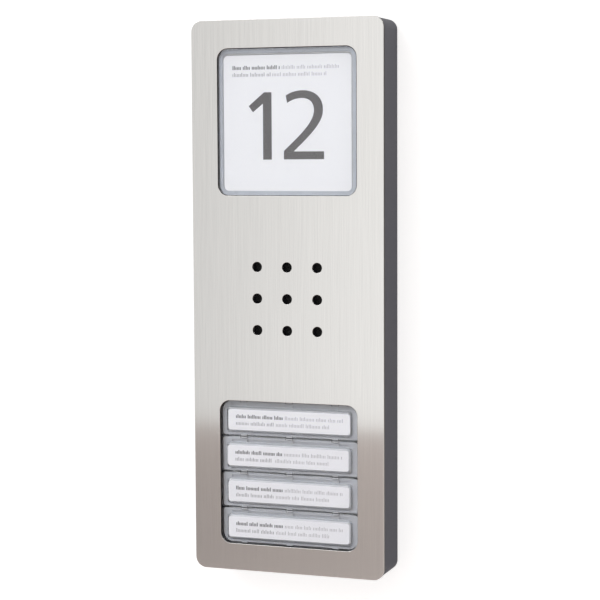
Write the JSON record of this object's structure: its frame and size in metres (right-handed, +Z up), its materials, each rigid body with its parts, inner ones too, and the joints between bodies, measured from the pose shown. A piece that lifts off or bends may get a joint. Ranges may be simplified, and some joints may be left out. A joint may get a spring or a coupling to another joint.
{
  "type": "door intercom panel",
  "caption": "Wall-mounted door intercom with a brushed steel face, lit number window, speaker holes and backlit call buttons with name strips.",
  "frame": {"origin": "centre of the four wall screw holes, on the wall plane", "axes": "+Z up along the panel's long side, +Y into the wall, +X to the right as seen from the front; the front face is at y = -0.024"},
  "size_m": [0.099, 0.024, 0.2728],
  "materials": {
    "brushed_steel": "vertical brushed stainless",
    "foam_tape": "closed-cell foam",
    "charcoal_plastic": "fine moulded texture",
    "black_rubber": "matte",
    "clear_plastic": "clear moulded polycarbonate",
    "white_film": "translucent film",
    "diffuser": "milky",
    "white_plastic": "moulded",
    "board_green": "solder mask",
    "led_body": "phosphor face",
    "zinc_steel": "zinc plated",
    "black_mesh": "woven screen",
    "black_paper": "pressed cone paper",
    "dark_magnet": "sintered",
    "black_plastic": "moulded",
    "capacitor_sleeve": "shrink sleeve",
    "relay_plastic": "moulded",
    "red_wire": "PVC insulation",
    "terminal_green": "moulded",
    "grey_ribbon": "PVC ribbon",
    "microphone_metal": "drawn can",
    "lock_steel": "stainless",
    "brass": "turned",
    "trimmer_plastic": "moulded",
    "label_paper": "printed insert",
    "grey_plastic": "translucent moulded",
    "spring_steel": "drawn wire"
  },
  "bodies": {
    "panel": {"front_plate": "brushed_steel", "plate_bond_tape": "foam_tape", "front_housing": "charcoal_plastic", "threaded_standoffs": "brass", "rear_seal": "black_rubber", "wall_base": "charcoal_plastic", "number_window": "clear_plastic", "number_label": "white_film", "number_light_guide": "diffuser", "number_light_box": "white_plastic", "number_led_board": "board_green", "leds": "led_body", "case_screws": "zinc_steel", "speaker_mesh": "black_mesh", "speaker_gasket": "foam_tape", "speaker_frame": "zinc_steel", "speaker_cone": "black_paper", "speaker_magnet": "dark_magnet", "speaker_screws": "zinc_steel", "button_guide_frame": "white_plastic", "key_switches": "black_plastic", "main_board": "board_green", "processor_chip": "black_plastic", "capacitors": "capacitor_sleeve", "door_relay": "relay_plastic", "bus_connector": "white_plastic", "lead_connectors": "white_plastic", "speaker_leads": "red_wire", "light_leads": "red_wire", "microphone_leads": "red_wire", "terminal_block": "terminal_green", "terminal_screws": "zinc_steel", "bus_ribbon": "grey_ribbon", "microphone": "microphone_metal", "microphone_boot": "black_rubber", "lock_screw": "lock_steel", "lock_insert": "brass", "volume_trimmer": "trimmer_plastic", "return_springs_1": "spring_steel", "return_springs_2": "spring_steel", "return_springs_3": "spring_steel", "return_springs_4": "spring_steel"},
    "button_1": {"button_cap_1": "clear_plastic", "name_label_1": "label_paper", "button_carrier_1": "grey_plastic"},
    "key_stem_1": {"key_stem_1": "white_plastic"},
    "button_2": {"button_cap_2": "clear_plastic", "name_label_2": "label_paper", "button_carrier_2": "grey_plastic"},
    "key_stem_2": {"key_stem_2": "white_plastic"},
    "button_3": {"button_cap_3": "clear_plastic", "name_label_3": "label_paper", "button_carrier_3": "grey_plastic"},
    "key_stem_3": {"key_stem_3": "white_plastic"},
    "button_4": {"button_cap_4": "clear_plastic", "name_label_4": "label_paper", "button_carrier_4": "grey_plastic"},
    "key_stem_4": {"key_stem_4": "white_plastic"},
    "volume_knob": {"volume_rotor": "brass"}
  },
  "joints": [
    {"name": "button_1_press", "type": "slide", "parent": "panel", "child": "button_1", "axis": [0, 1, 0], "range_m": [0, 0.0012], "stiffness_N_per_m": 1000, "springref_m": -0.001, "deforming": ["return_springs_1"]},
    {"name": "key_stem_1_slide", "type": "slide", "parent": "panel", "child": "key_stem_1", "axis": [0, 1, 0], "range_m": [0, 0.0012]},
    {"name": "button_2_press", "type": "slide", "parent": "panel", "child": "button_2", "axis": [0, 1, 0], "range_m": [0, 0.0012], "stiffness_N_per_m": 1000, "springref_m": -0.001, "deforming": ["return_springs_2"]},
    {"name": "key_stem_2_slide", "type": "slide", "parent": "panel", "child": "key_stem_2", "axis": [0, 1, 0], "range_m": [0, 0.0012]},
    {"name": "button_3_press", "type": "slide", "parent": "panel", "child": "button_3", "axis": [0, 1, 0], "range_m": [0, 0.0012], "stiffness_N_per_m": 1000, "springref_m": -0.001, "deforming": ["return_springs_3"]},
    {"name": "key_stem_3_slide", "type": "slide", "parent": "panel", "child": "key_stem_3", "axis": [0, 1, 0], "range_m": [0, 0.0012]},
    {"name": "button_4_press", "type": "slide", "parent": "panel", "child": "button_4", "axis": [0, 1, 0], "range_m": [0, 0.0012], "stiffness_N_per_m": 1000, "springref_m": -0.001, "deforming": ["return_springs_4"]},
    {"name": "key_stem_4_slide", "type": "slide", "parent": "panel", "child": "key_stem_4", "axis": [0, 1, 0], "range_m": [0, 0.0012]},
    {"name": "volume_turn", "type": "hinge", "parent": "panel", "child": "volume_knob", "pos_m": [0.03, -0.0035, 0.02], "axis": [0, 1, 0], "range_deg": [-135, 135]}
  ],
  "couplings": [
    {"joint": "key_stem_1_slide", "follows": "button_1_press", "ratio": 1},
    {"joint": "key_stem_2_slide", "follows": "button_2_press", "ratio": 1},
    {"joint": "key_stem_3_slide", "follows": "button_3_press", "ratio": 1},
    {"joint": "key_stem_4_slide", "follows": "button_4_press", "ratio": 1}
  ]
}
